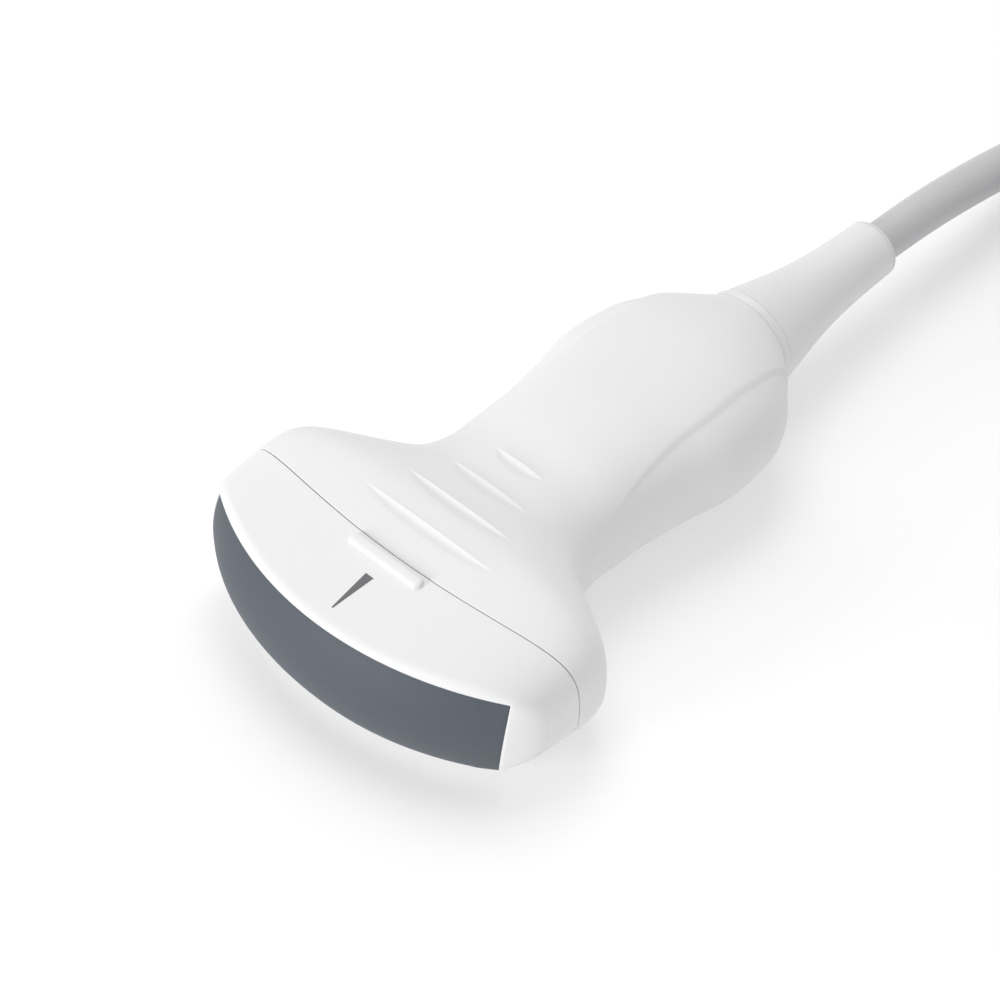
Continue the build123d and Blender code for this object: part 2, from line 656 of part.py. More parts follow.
def connector_contacts():
    """Rows of square pads on the front of the contact block."""
    front = plug_span()[1]
    pads = []
    for row in range(CONTACT_ROWS):
        for column in range(CONTACT_COLUMNS):
            y = (column - (CONTACT_COLUMNS - 1) / 2) * CONTACT_PITCH
            z = (row - (CONTACT_ROWS - 1) / 2) * CONTACT_PITCH
            pads.append(Pos(0, y, z) * on_plug(front, front + CONTACT_HEIGHT, CONTACT_SIZE, CONTACT_SIZE))
    return pads


# The pieces, in order of assembly
def probe_pieces():
    radii = stack_radii()

    def in_stack(number):
        return layer(radii[number], radii[number + 1], ARRAY_HEIGHT, ARRAY_HALF_ANGLE)

    top = ARRAY_HEIGHT / 2
    return {
        "acoustic_lens": acoustic_lens(),
        "outer_matching_layer": in_stack(0),
        "inner_matching_layer": in_stack(1),
        "piezo_array": in_stack(2),
        "backing_block": in_stack(3),
        "array_carrier": array_carrier(),
        "upper_flex_circuit": upper_flex(),
        "lower_flex_circuit": upper_flex().mirror(Plane.XY),
        "upper_interconnect_board": upper_board(),
        "lower_interconnect_board": upper_board().mirror(Plane.XY),
        "board_spacers": board_spacers(),
        "coax_fanout": coax_fanout(),
        "nose_cap": nose_cap(),
        "seam_seal": seam_seal(),
        "lower_handle_shell": lower_shell(),
        "carrier_screws": [screw(x, y, CARRIER_PLATE / 2, CARRIER_PLATE + SCREW_GRIP)
                           for x, y in carrier_screw_places()],
        "board_screws": [screw(x, y, top, ARRAY_HEIGHT + SCREW_GRIP) for x, y in board_screw_places()],
        "cable_inner_end": rod(CABLE_END_AT, BOOT_END, CABLE_DIAMETER),
        "cable_ferrule": cable_ferrule(),
        "cable_clamp": cable_clamp(),
        "clamp_screws": [screw(x, y, CLAMP_WALL, CLAMP_WALL + SCREW_GRIP) for x, y in clamp_screw_places()],
        "upper_handle_shell": upper_shell(),
        "tail_collar": tail_collar(),
        "strain_relief_boot": strain_relief_boot(),
    }


def table_pieces():
    return {
        "cable": cable(),
        "cable_coil": cable_coil(),
        "coil_tie": coil_tie(),
    }


def connector_pieces():
    return {
        "connector_boot": connector_boot(),
        "connector_lower_shell": connector_lower_shell(),
        "connector_upper_shell": connector_upper_shell(),
        "connector_shroud": connector_shroud(),
        "contact_block": contact_block(),
        "connector_contacts": connector_contacts(),
    }


def save(node, shape, place):
    solids = [place * piece for piece in shape] if isinstance(shape, list) else [place * shape]
    export_step(Compound(solids) if len(solids) > 1 else solids[0], f"parts/{node}.step")


os.makedirs("parts", exist_ok=True)
for node, shape in probe_pieces().items():
    save(node, shape, TO_TABLE)
for node, shape in table_pieces().items():
    save(node, shape, Pos(0, 0, 0))
lead_end = lead_route()[-1]
for node, shape in connector_pieces().items():
    save(node, shape, Pos(lead_end.X, lead_end.Y, 0) * Rot(0, 0, 180))
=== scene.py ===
import math
import bpy
import numpy as np
from mathutils import Matrix, Vector


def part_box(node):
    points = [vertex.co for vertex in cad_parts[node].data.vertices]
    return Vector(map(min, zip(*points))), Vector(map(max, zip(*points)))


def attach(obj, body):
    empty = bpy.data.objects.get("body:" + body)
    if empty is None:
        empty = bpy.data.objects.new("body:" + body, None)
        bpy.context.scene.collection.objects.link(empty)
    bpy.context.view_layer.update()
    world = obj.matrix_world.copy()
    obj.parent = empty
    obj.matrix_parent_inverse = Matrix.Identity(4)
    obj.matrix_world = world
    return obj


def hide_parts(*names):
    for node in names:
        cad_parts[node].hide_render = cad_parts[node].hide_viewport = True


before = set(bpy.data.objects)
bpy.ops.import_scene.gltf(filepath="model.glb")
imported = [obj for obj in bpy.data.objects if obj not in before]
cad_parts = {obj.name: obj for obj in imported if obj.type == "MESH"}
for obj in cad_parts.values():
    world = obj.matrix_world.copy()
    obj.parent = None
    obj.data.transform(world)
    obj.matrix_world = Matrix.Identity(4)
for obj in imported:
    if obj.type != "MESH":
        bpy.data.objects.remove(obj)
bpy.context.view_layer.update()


# Acoustic stack: two quarter-wave resin layers, the diced ceramic array and its loaded backing.
# The layers are cast and bonded one behind the other on a machined aluminium carrier.
def grained(name, light, dark, grain, roughness, relief, metallic=0.0, sheen=0.5):
    """A finish on Object coordinates: noise of the grain's size in millimetres carries the colour between two
    tones, shifts the roughness a little each way and lifts the surface by the relief in millimetres."""
    material = bpy.data.materials.new(name)
    material.use_nodes = True
    nodes, links = material.node_tree.nodes, material.node_tree.links
    shader = nodes["Principled BSDF"]
    shader.inputs["Metallic"].default_value = metallic
    shader.inputs["Specular IOR Level"].default_value = sheen
    place = nodes.new("ShaderNodeTexCoord")
    noise = nodes.new("ShaderNodeTexNoise")
    noise.inputs["Scale"].default_value = 1000.0 / grain
    noise.inputs["Detail"].default_value = 3.0
    links.new(place.outputs["Object"], noise.inputs["Vector"])
    tones = nodes.new("ShaderNodeValToRGB")
    tones.color_ramp.elements[0].position = 0.3
    tones.color_ramp.elements[1].position = 0.7
    tones.color_ramp.elements[0].color = (*dark, 1.0)
    tones.color_ramp.elements[1].color = (*light, 1.0)
    links.new(noise.outputs["Fac"], tones.inputs["Fac"])
    links.new(tones.outputs["Color"], shader.inputs["Base Color"])
    rough = nodes.new("ShaderNodeMapRange")
    rough.inputs["To Min"].default_value = roughness - 0.04
    rough.inputs["To Max"].default_value = roughness + 0.04
    links.new(noise.outputs["Fac"], rough.inputs["Value"])
    links.new(rough.outputs["Result"], shader.inputs["Roughness"])
    bump = nodes.new("ShaderNodeBump")
    bump.inputs["Distance"].default_value = relief / 1000.0
    bump.inputs["Strength"].default_value = 1.0
    links.new(noise.outputs["Fac"], bump.inputs["Height"])
    links.new(bump.outputs["Normal"], shader.inputs["Normal"])
    return material


def dress(material, *names):
    """Puts one finish on the CAD nodes of these names."""
    for name in names:
        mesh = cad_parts[name].data
        mesh.materials.clear()
        mesh.materials.append(material)


dress(grained("matching_resin", (0.38, 0.31, 0.25), (0.33, 0.27, 0.21), 1.2, 0.5, 0.01),
      "outer_matching_layer", "inner_matching_layer")
dress(grained("diced_ceramic", (0.58, 0.53, 0.45), (0.50, 0.45, 0.37), 0.6, 0.6, 0.02), "piezo_array")
dress(grained("loaded_backing", (0.06, 0.06, 0.065), (0.035, 0.035, 0.04), 0.8, 0.7, 0.02), "backing_block")
dress(grained("milled_aluminium", (0.66, 0.67, 0.69), (0.56, 0.57, 0.59), 0.5, 0.35, 0.01, 1.0),
      "array_carrier")


# Circuits: polyimide films from the array to two stacked boards, held apart by turned brass spacers, and the
# bundle of fine coaxial wires that gathers from the boards into the cable.
dress(grained("polyimide_film", (0.48, 0.22, 0.05), (0.40, 0.17, 0.03), 2.0, 0.25, 0.01),
      "upper_flex_circuit", "lower_flex_circuit")
dress(grained("solder_mask", (0.02, 0.20, 0.09), (0.015, 0.15, 0.065), 1.5, 0.35, 0.01),
      "upper_interconnect_board", "lower_interconnect_board")
dress(grained("turned_brass", (0.75, 0.57, 0.27), (0.66, 0.49, 0.21), 0.4, 0.3, 0.005, 1.0), "board_spacers")
dress(grained("coax_jackets", (0.28, 0.33, 0.45), (0.14, 0.17, 0.25), 0.5, 0.5, 0.08), "coax_fanout")


# Fasteners and cable anchorage: plated steel screws, a pressed saddle and a crimped ferrule, which clamp the
# cable's end to the lower shell.
dress(grained("plated_steel", (0.60, 0.60, 0.61), (0.50, 0.50, 0.51), 0.4, 0.3, 0.005, 1.0),
      "carrier_screws", "board_screws", "clamp_screws", "cable_clamp", "cable_ferrule")


# Nose cap: a white plastic moulding with a straight taper, a soft front edge and a window for the lens. Its
# back edge is bowed forward in plan, and a spigot behind it is bonded into the handle.
# Lengths are in millimetres unless a section says metres, and along the probe x is from the nose's apex.
TAIL_FROM_APEX = 100.0
collar_low, collar_high = (np.array(corner) * 1000.0 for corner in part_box("tail_collar"))
PROBE_PLACE = np.array([collar_low[0] - TAIL_FROM_APEX, 0.0, (collar_low[2] + collar_high[2]) / 2])
COLUMNS, STATION_STEP, SOFTNESS = 320, 0.1, 1.4
BODY_AT = [-12.0, -8.0, 8.0, 18.0, 24.0, 29.0, 35.0, 41.0,
           48.0, 57.0, 68.0, 78.0, 87.0, 94.0, 98.5, 101.5]
BODY_HALF_WIDTH = [36.1, 36.3, 36.95, 37.35, 37.6, 36.7, 27.9, 19.3,
                   17.7, 17.9, 19.3, 21.4, 20.7, 17.5, 12.9, 9.5]
BODY_HALF_HEIGHT = [8.1, 8.5, 10.3, 11.4, 12.1, 12.5, 11.95, 11.2,
                    11.2, 11.95, 12.35, 12.3, 12.1, 11.4, 10.4, 9.5]
BODY_FULLNESS = [0.9, 0.9, 0.9, 0.9, 0.9, 0.88, 0.81, 0.74,
                 0.70, 0.70, 0.70, 0.70, 0.68, 0.64, 0.59, 0.55]
NOSE_RADIUS, NOSE_DROOP, DROOP_END, DROOP_MOST, DROOP_POWER = 60.5, 1.0, 26.0, 1.3, 1.5
SEAM_AT, SEAM_RADIUS, SEAM_GAP, SEAM_ROUND = 17.3, 165.0, 0.16, 0.12
WINDOW_HALF_WIDTH, WINDOW_LEAN = 32.7, 0.1
WINDOW_TOP, WINDOW_TOP_ARCH, WINDOW_FOOT, WINDOW_FOOT_ARCH = 8.3, 1.4, -10.1, 0.8
WINDOW_CORNER_AT, WINDOW_FULLNESS = 0.40, 0.9
LENS_SWELL, LENS_END_SWELL = 3.2, 1.6
EDGE_ROUND, END_ROUND_ADDED, ENDS_FROM, ENDS_BLEND = 1.6, 1.0, 29.0, 7.0
FACE_SHARE, LIP_WALL, LIP_DEPTH, LIP_CLOSE = 0.9, 1.2, 0.6, [1, 0.9, 0.85]


def through(stations, values, x):
    """Cubic through the stations whose slope at each is the harmonic mean of the slopes on its two sides, or
    level where they differ in sign, then rounded by a Gaussian of the softness."""
    s, v = np.array(stations), np.array(values)
    step = np.diff(s)
    rise = np.diff(v) / step
    slope = np.concatenate([rise[:1], np.zeros(len(s) - 2), rise[-1:]])
    same = rise[:-1] * rise[1:] > 0
    slope[1:-1][same] = 2 * (rise[:-1] * rise[1:])[same] / (rise[:-1] + rise[1:])[same]
    fine = np.arange(s[0], s[-1], STATION_STEP)
    i = np.clip(np.searchsorted(s, fine) - 1, 0, len(step) - 1)
    t = (fine - s[i]) / step[i]
    curve = (v[i] * (1 + 2 * t) + slope[i] * step[i] * t) * (1 - t) ** 2
    curve += (v[i + 1] * (3 - 2 * t) + slope[i + 1] * step[i] * (t - 1)) * t**2
    reach = 60
    bell = np.exp(-0.5 * (np.arange(-reach, reach + 1) * STATION_STEP / SOFTNESS) ** 2)
    padded = np.pad(curve, reach, mode="reflect", reflect_type="odd")
    return np.interp(x, fine, np.convolve(padded, bell / bell.sum(), mode="valid"))


def around(columns):
    """Place in the quarter, 0 at the side and 1 at the top or bottom, and the signs of y and z, for each
    column."""
    turn = np.arange(columns) * 4.0 / columns
    quarter = np.floor(turn).astype(int)
    t = np.where(quarter % 2 == 1, 1 - (turn - quarter), turn - quarter)
    return t, np.where((quarter == 0) | (quarter == 3), 1.0, -1.0), np.where(quarter < 2, 1.0, -1.0)


def quarter_curve(t, full):
    """Cubic quarter from (1, 0) to (0, 1): handles as long as the fullness, 0.55 for an ellipse and 1 for a
    box."""
    across = (1 - t) ** 3 + 3 * (1 - t) ** 2 * t + 3 * full * (1 - t) * t**2
    up = 3 * full * (1 - t) ** 2 * t + 3 * (1 - t) * t**2 + t**3
    return across, up


def skin(x, inset=0.0):
    """Points of the body's section at x, drawn in by the inset, one for each column. The underside hangs
    lower towards the nose: by the droop times a power of the distance from the droop's end, as a share."""
    x = np.broadcast_to(x, np.broadcast_shapes(np.shape(x), (COLUMNS,)))
    t, side, top = around(COLUMNS)
    across, up = quarter_curve(t, through(BODY_AT, BODY_FULLNESS, x))
    y = side * across * (through(BODY_AT, BODY_HALF_WIDTH, x) - inset)
    droop = NOSE_DROOP * np.clip(1 - x / DROOP_END, 0, DROOP_MOST) ** DROOP_POWER * (top < 0)
    z = top * up * (through(BODY_AT, BODY_HALF_HEIGHT, x) + droop - inset)
    return np.stack([x, y, z], axis=-1)


def bowed(radius, at):
    """x of the body's skin on an upright cylinder wall whose front is at this place, found by repetition."""
    x = np.full(COLUMNS, float(at))
    for _ in range(12):
        y = skin(x)[..., 1]
        x = at + radius - np.sqrt(radius**2 - y**2)
    return x


def grid_piece(name, points, material, wrap=True, flip=False, place=PROBE_PLACE):
    """A smooth mesh over rows and columns of points in millimetres; the columns close on themselves if
    wrapped."""
    rows, columns = points.shape[:2]
    index = np.arange(rows * columns).reshape(rows, columns)
    ahead = np.roll(index, -1, axis=1) if wrap else index[:, 1:]
    here = index if wrap else index[:, :-1]
    corners = [here[:-1], here[1:], ahead[1:], ahead[:-1]]
    faces = np.stack(corners[::-1] if flip else corners, axis=-1).reshape(-1, 4)
    mesh = bpy.data.meshes.new(name)
    mesh.from_pydata(((points + place) / 1000.0).reshape(-1, 3).tolist(), [], faces.tolist())
    mesh.polygons.foreach_set("use_smooth", np.ones(len(faces), dtype=bool))
    mesh.materials.append(material)
    piece = bpy.data.objects.new(name, mesh)
    bpy.context.scene.collection.objects.link(piece)
    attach(piece, "root")
    return piece


def blended(a, b, c, count):
    """Quadratic curve from a to c that leaves and arrives along the lines to b."""
    t = np.linspace(0, 1, count)[:, None, None]
    return (1 - t) ** 2 * a + 2 * t * (1 - t) * b + t**2 * c


def window_half_width(z):
    """The window's ends lean in a little below, so its lower edge is the shorter one."""
    return WINDOW_HALF_WIDTH + WINDOW_LEAN * z


def window_heights(share):
    """Heights of the window's arched top and bottom edges at a share of its half-width."""
    return WINDOW_TOP - WINDOW_TOP_ARCH * share**2, WINDOW_FOOT + WINDOW_FOOT_ARCH * share**2


def on_nose(share, y, z):
    """Points of the nose's curve at y and z, swelled as a parabola between the window's edges, more in the
    middle than at the ends."""
    high, low = window_heights(share)
    v = (2 * z - high - low) / (high - low)
    swell = LENS_SWELL - (LENS_SWELL - LENS_END_SWELL) * np.abs(share) ** 4
    radius = NOSE_RADIUS + swell * np.clip(1 - v**2, 0, 1)
    swing = np.arcsin(y / NOSE_RADIUS)
    return np.stack([NOSE_RADIUS - radius * np.cos(swing), radius * np.sin(swing), z], axis=-1)


def softened(values):
    """Mean of each value of a closed row and its two neighbours, itself counted twice."""
    return (np.roll(values, 1) + 2 * values + np.roll(values, -1)) / 4


def window_edge():
    """Edge of the lens window for each column: leaning ends that swell with the lens, and arched long
    edges."""
    t, side, top = around(COLUMNS)
    across, up = quarter_curve(t, WINDOW_FULLNESS)
    corner_across, corner_up = quarter_curve(WINDOW_CORNER_AT, WINDOW_FULLNESS)
    share = np.minimum(1.0, across / corner_across)
    high, low = window_heights(share)
    z = np.where(top > 0, high, low) * np.where(t < WINDOW_CORNER_AT, np.minimum(1.0, up / corner_up), 1.0)
    y = side * window_half_width(z) * share
    return on_nose(share, softened(y), softened(z))


white_housing = grained("white_housing", (0.82, 0.82, 0.822), (0.80, 0.80, 0.802), 0.35, 0.50, 0.0015,
                        sheen=0.3)
rim = skin(bowed(NOSE_RADIUS, 0.0))
window = window_edge()
seam_x = bowed(SEAM_RADIUS, SEAM_AT)
width_share = np.clip((np.abs(rim[:, 1]) - ENDS_FROM) / ENDS_BLEND, 0, 1)
edge_round = EDGE_ROUND + END_ROUND_ADDED * width_share**2 * (3 - 2 * width_share)
behind_rim = skin(rim[:, 0] + edge_round)
face_end = rim + (window - rim) * FACE_SHARE
turn = np.linspace(0, math.pi / 2, 6)[:, None]
back_edge = skin(seam_x - SEAM_ROUND * (1 - np.cos(turn)), SEAM_ROUND * (1 - np.sin(turn)))
cap_length = behind_rim[:, 0] - seam_x + SEAM_ROUND
sides = skin(seam_x - SEAM_ROUND + cap_length * np.linspace(0, 1, 60)[1:-1, None])
cap_points = np.concatenate([
    skin(seam_x, LIP_WALL)[None], back_edge, sides, blended(behind_rim, rim, face_end, 16), window[None],
    (window + [LIP_DEPTH, 0, 0])[None], (window * LIP_CLOSE + [2 * LIP_DEPTH, 0, 0])[None]])
nose_cap = grid_piece("nose_cap_skin", cap_points, white_housing)
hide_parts("nose_cap")


# Orientation bar: a low rounded bar, moulded in one with the cap just ahead of the seam. The thumb finds it
# and so knows which way up the probe is held.
BAR_AT, BAR_HALF_LENGTH, BAR_HALF_WIDTH = 15.6, 8.0, 1.1
BAR_PROFILE = [(1.45, -0.35), (1.32, -0.02), (1.2, 0.05), (1.12, 0.16), (1.08, 0.34), (1.04, 0.52),
               (0.95, 0.68), (0.80, 0.79), (0.6, 0.84), (0.3, 0.855), (0.0, 0.86)]


def crown(x, y):
    """Height of the body's top near its mid-line: the section's height, less its curvature there times y
    squared."""
    w, h = through(BODY_AT, BODY_HALF_WIDTH, x), through(BODY_AT, BODY_HALF_HEIGHT, x)
    full = through(BODY_AT, BODY_FULLNESS, x)
    return h * (1 - (1 - full) * y**2 / (3 * full**2 * w**2))


angle = np.linspace(0, 2 * math.pi, 120, endpoint=False)
end_y = np.where(np.sin(angle) >= 0, 1.0, -1.0) * (BAR_HALF_LENGTH - BAR_HALF_WIDTH)
reach, rise = np.array(BAR_PROFILE).T[:, :, None]
bar_x, bar_y = BAR_AT + reach * np.cos(angle), end_y + reach * np.sin(angle)
bar_points = np.stack([bar_x, bar_y, crown(bar_x, bar_y) + rise], axis=-1)
grid_piece("orientation_bar", bar_points, white_housing, flip=True)


# Centre mark: a narrow wedge of dark grey ink, pad-printed on the cap with its point towards the lens.
# It shows the middle of the array.
MARK_FROM, MARK_TO, MARK_POINT, MARK_SPREAD, INK_THICK = 3.3, 11.8, 0.14, 0.74, 0.03
print_ink = grained("print_ink", (0.125, 0.128, 0.135), (0.105, 0.108, 0.115), 0.3, 0.5, 0.001)
mark_x = np.linspace(MARK_FROM, MARK_TO, 40)[:, None]
mark_y = np.linspace(-1, 1, 9) * (MARK_POINT + MARK_SPREAD * (mark_x - MARK_FROM) / (MARK_TO - MARK_FROM))
mark_x = np.broadcast_to(mark_x, mark_y.shape)
mark_points = np.stack([mark_x, mark_y, crown(mark_x, mark_y) + INK_THICK], axis=-1)
grid_piece("centre_mark", mark_points, print_ink, wrap=False)


# Acoustic lens: slate-grey silicone rubber, cast into the window over the array. It is curved round the nose
# and bulged between its long edges, and its rim lies just under the cap's lip.
LENS_THICK, LENS_SUNK, LENS_END_SUNK, LENS_UNDER_ENDS, LENS_UNDER_EDGES = 1.8, 0.1, 0.6, 0.2, 0.15
CORNER_POWER, END_POWER = 40, 400
lens_silicone = grained("lens_silicone", (0.094, 0.107, 0.127), (0.087, 0.100, 0.119), 0.8, 0.55, 0.002,
                        sheen=0.25)
across, up = np.meshgrid(np.linspace(-1, 1, 181), np.linspace(-1, 1, 61))
high, low = window_heights(across)
half_height = (high - low) / 2 + LENS_UNDER_EDGES * (1 - np.abs(across) ** CORNER_POWER)
lens_z = (high + low) / 2 + half_height * up
lens_y = (window_half_width(lens_z) + LENS_UNDER_ENDS * (1 - np.abs(up) ** CORNER_POWER)) * across
lens_points = on_nose(across, lens_y, lens_z)
lens_points[..., 0] += LENS_SUNK + LENS_END_SUNK * np.abs(across) ** END_POWER
lens = grid_piece("lens_face", lens_points, lens_silicone, wrap=False)
solid = lens.modifiers.new("thickness", "SOLIDIFY")
solid.thickness = LENS_THICK / 1000.0
solid.offset = -1.0
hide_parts("acoustic_lens")


# Seam seal: a bead of dark sealant, laid on the spigot between cap and handle. It sits a little below the
# skin and is seen as a fine line.
SEAL_LAP, SEAL_INSET, SEAL_CROWN = 0.1, 0.42, 0.1
seal_dark = grained("seam_sealant", (0.16, 0.16, 0.165), (0.12, 0.12, 0.125), 0.5, 0.7, 0.01)
across_gap = np.linspace(0, 1, 4)[:, None]
seal_x = seam_x - SEAL_LAP + (SEAM_GAP + 2 * SEAL_LAP) * across_gap
seal_points = skin(seal_x, SEAL_INSET - SEAL_CROWN * np.sin(math.pi * across_gap))
seal = grid_piece("seam_bead", seal_points, seal_dark, flip=True)
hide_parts("seam_seal")


# Handle: upper and lower shells moulded in the cap's plastic and bonded flush, so they show as one waisted
# body. Four crescent scoops end in crisp grip ridges on the top and on the underside, and a shallow leaf is
# let into each side.
RIDGES = [(25.3, 13.9), (32.3, 10.9), (39.4, 8.0), (46.5, 4.9)]
RIDGE_PROUD, RIDGE_DEPTH, RIDGE_SCOOP, RIDGE_CREST, RIDGE_FADE = 0.22, 0.24, 2.6, 0.3, 1.1
RIDGE_LINES = [-1.0, -0.8, -0.6, -0.45, -0.3, -0.2, -0.1, -0.03, 0.03, 0.1, 0.2, 0.35, 0.5]
LEAF_AT, LEAF_FORE, LEAF_AFT, LEAF_HALF_HEIGHT, LEAF_DEPTH = 78.0, 31.5, 21.0, 10.6, 0.45
LEAF_EDGE, LEAF_FRONT_SHARE, LEAF_FORE_POWER, LEAF_AFT_POWER, LEAF_UP_POWER = 0.7, 0.3, 1.8, 3.0, 2.3
BOW_END, FRONT_CLEAR, HANDLE_STEP, RIDGES_ABOVE = 25.0, 0.7, 0.40, 5.0
TAIL_AT, TAIL_ROUND, TAIL_LIP, TAIL_WALL = 101.4, 0.12, 0.25, 1.5


def ridge_lift(x, y):
    """Height of the grip ridges: a crescent scoop that starts softly and climbs steeply to a crisp edge,
    which stands a little proud and fades out behind. The scoop is u times (1 - u) squared over its length,
    scaled by 6.75 to be 1 at its deepest. All of it is full on the mid-line and nothing at the ends."""
    lift = np.zeros_like(x)
    for at, half in RIDGES:
        share = np.clip(1 - (y / half) ** 2, 0, 1)
        u = np.clip((at - x) / (RIDGE_SCOOP * np.sqrt(share) + 1e-6), 0, 1)
        crest = RIDGE_PROUD * np.clip(1 - u / RIDGE_CREST, 0, 1) ** 2
        ahead = crest - RIDGE_DEPTH * 6.75 * u * (1 - u) ** 2
        aft = RIDGE_PROUD * np.exp(-np.maximum(x - at, 0) / RIDGE_FADE)
        lift += np.sqrt(share) * np.where(x <= at, ahead, aft)
    return lift


def leaf_depth(x, z):
    """Depth of the side leaf: nothing outside an oval that is longer and slimmer ahead of its middle than
    behind it, full a little inside its edge, and fading to the front."""
    fore = x < LEAF_AT
    length, power = np.where(fore, LEAF_FORE, LEAF_AFT), np.where(fore, LEAF_FORE_POWER, LEAF_AFT_POWER)
    along, up = np.abs(x - LEAF_AT) / length, np.abs(z) / LEAF_HALF_HEIGHT
    inside = 1 - along**power - up**LEAF_UP_POWER
    slope = np.hypot(power * along ** (power - 1) / length,
                     LEAF_UP_POWER * up ** (LEAF_UP_POWER - 1) / LEAF_HALF_HEIGHT) + 1e-3
    step = np.clip(inside / slope / LEAF_EDGE, 0, 1)
    fade = np.clip((x - LEAF_AT + LEAF_FORE) / LEAF_FORE, 0, 1)
    return LEAF_DEPTH * (LEAF_FRONT_SHARE + (1 - LEAF_FRONT_SHARE) * fade) * step**2 * (3 - 2 * step)


def outward(points):
    """Unit normals of a wrapped grid, from the differences between neighbours."""
    along = np.gradient(points, axis=0)
    round_it = np.roll(points, -1, axis=1) - np.roll(points, 1, axis=1)
    normal = np.cross(round_it, along)
    return normal / (np.linalg.norm(normal, axis=-1, keepdims=True) + 1e-12)


edge_lines = (np.array(RIDGES)[:, :1] + RIDGE_LINES).ravel()
stations = np.concatenate([np.arange(SEAM_AT + FRONT_CLEAR, TAIL_AT, HANDLE_STEP), edge_lines, [TAIL_AT]])
stations = np.unique(np.round(stations, 3))[:, None]
bow_share = np.clip((BOW_END - stations) / (BOW_END - SEAM_AT), 0, 1)
body = skin(stations + (seam_x - SEAM_AT) * bow_share + SEAM_GAP * bow_share)
lift = ridge_lift(body[..., 0], body[..., 1]) * (np.abs(body[..., 2]) > RIDGES_ABOVE)
body = body + outward(body) * (lift - leaf_depth(body[..., 0], body[..., 2]))[..., None]
front_x = seam_x + SEAM_GAP
front_edge = skin(front_x + SEAM_ROUND * (1 - np.cos(turn)), SEAM_ROUND * (1 - np.sin(turn)))
back_x = np.full(COLUMNS, TAIL_AT + TAIL_ROUND)
handle_points = np.concatenate([
    skin(front_x, LIP_WALL)[None], front_edge, body, skin(back_x, TAIL_LIP)[None],
    skin(back_x, TAIL_WALL)[None]])
handle = grid_piece("handle_skin", handle_points, white_housing, flip=True)
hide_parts("upper_handle_shell", "lower_handle_shell")


# Tail collar: a white moulded ring round the boot's neck, held between handle and boot. Its softened edges read
# as two fine grooves.
COLLAR_FROM, COLLAR_TO, COLLAR_RADIUS, COLLAR_BACK_RADIUS, COLLAR_BORE = 101.46, 103.1, 9.57, 9.55, 8.6
COLLAR_ROUND = 0.2


def turned(name, profile, material, place=PROBE_PLACE, columns=128, flip=True):
    """A profile of (x, radius) carried round the X axis."""
    x, r = np.array(profile, dtype=float).T
    swing = np.linspace(0, 2 * math.pi, columns, endpoint=False)
    points = np.broadcast_arrays(x[:, None], r[:, None] * np.cos(swing), r[:, None] * np.sin(swing))
    return grid_piece(name, np.stack(points, axis=-1), material, flip=flip, place=place)


def rounded_corner(x, r, size, start, count=6):
    """Quarter circle of (x, radius) points about a corner's centre, clockwise from a start angle in
    degrees."""
    swing = np.radians(np.linspace(start, start - 90, count))
    return list(zip(x + size * np.cos(swing), r + size * np.sin(swing)))


collar_profile = [
    (COLLAR_FROM, COLLAR_BORE),
    *rounded_corner(COLLAR_FROM + COLLAR_ROUND, COLLAR_RADIUS - COLLAR_ROUND, COLLAR_ROUND, 180),
    *rounded_corner(COLLAR_TO - COLLAR_ROUND, COLLAR_BACK_RADIUS - COLLAR_ROUND, COLLAR_ROUND, 90),
    (COLLAR_TO, COLLAR_BORE)]
collar = turned("tail_ring", collar_profile, white_housing)
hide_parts("tail_collar")


# Strain-relief boot: soft white elastomer moulded round the cable, in one flare from the collar down to a
# rounded lip. Its flange is held inside the handle's tail.
FLARE_FROM, BOOT_TO, BOOT_LIP = 103.35, 135.0, 0.9
BOOT_AT = [102.5, 104.5, 108.0, 112.0, 116.0, 120.0, 125.0, BOOT_TO - BOOT_LIP]
BOOT_RADIUS = [9.5, 9.1, 8.35, 7.45, 6.7, 6.15, 5.7, 5.3]
BOOT_START = [(103.0, 8.4), (103.12, 9.1), (103.2, 9.26)]
BOOT_MOUTH = [(BOOT_TO, 3.86), (BOOT_TO - 2.2, 3.82)]
boot_white = grained("boot_elastomer", (0.81, 0.81, 0.815), (0.785, 0.785, 0.79), 0.4, 0.50, 0.002, sheen=0.3)
flare_x = np.linspace(FLARE_FROM, BOOT_TO - BOOT_LIP, 90)
boot_profile = [
    *BOOT_START,
    *zip(flare_x, through(BOOT_AT, BOOT_RADIUS, flare_x)),
    *rounded_corner(BOOT_TO - BOOT_LIP, BOOT_RADIUS[-1] - BOOT_LIP, BOOT_LIP, 90),
    *BOOT_MOUTH]
boot = turned("relief_boot", boot_profile, boot_white)
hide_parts("strain_relief_boot")


# Cable: one length of grey jacketed multi-coaxial cable, from the boot down to the table, round the put-away
# coil, two turns wide and three high, and back beside it to the connector. Its lengths are in metres.
CABLE_RADIUS = 0.0038
EXIT_X, EXIT_Z = round(float(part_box("cable")[0][0]), 6), PROBE_PLACE[2] / 1000.0
LEVELS = (0.0046, 0.0122, 0.0198)
ROUTE = [(0.0, EXIT_Z), (0.0126, EXIT_Z), (0.0300, EXIT_Z - 0.0024), (0.0430, EXIT_Z - 0.0052),
         (0.0555, LEVELS[0]), (0.0678, LEVELS[0])]
COIL_FROM_EXIT, OUTER, INNER = 0.0698, 0.0433, 0.0357
COIL_X = EXIT_X + COIL_FROM_EXIT
TURNS = np.array([(OUTER, LEVELS[0]), (INNER, LEVELS[0]), (INNER, LEVELS[1]), (INNER, LEVELS[2]),
                  (OUTER, LEVELS[2]), (OUTER, LEVELS[1])])
LAST_TURN = len(TURNS) - 1
STEPS, LEAD_STEPS, CHANGE_FROM, CHANGE_LENGTH = 16, 9, 0.68, 0.24
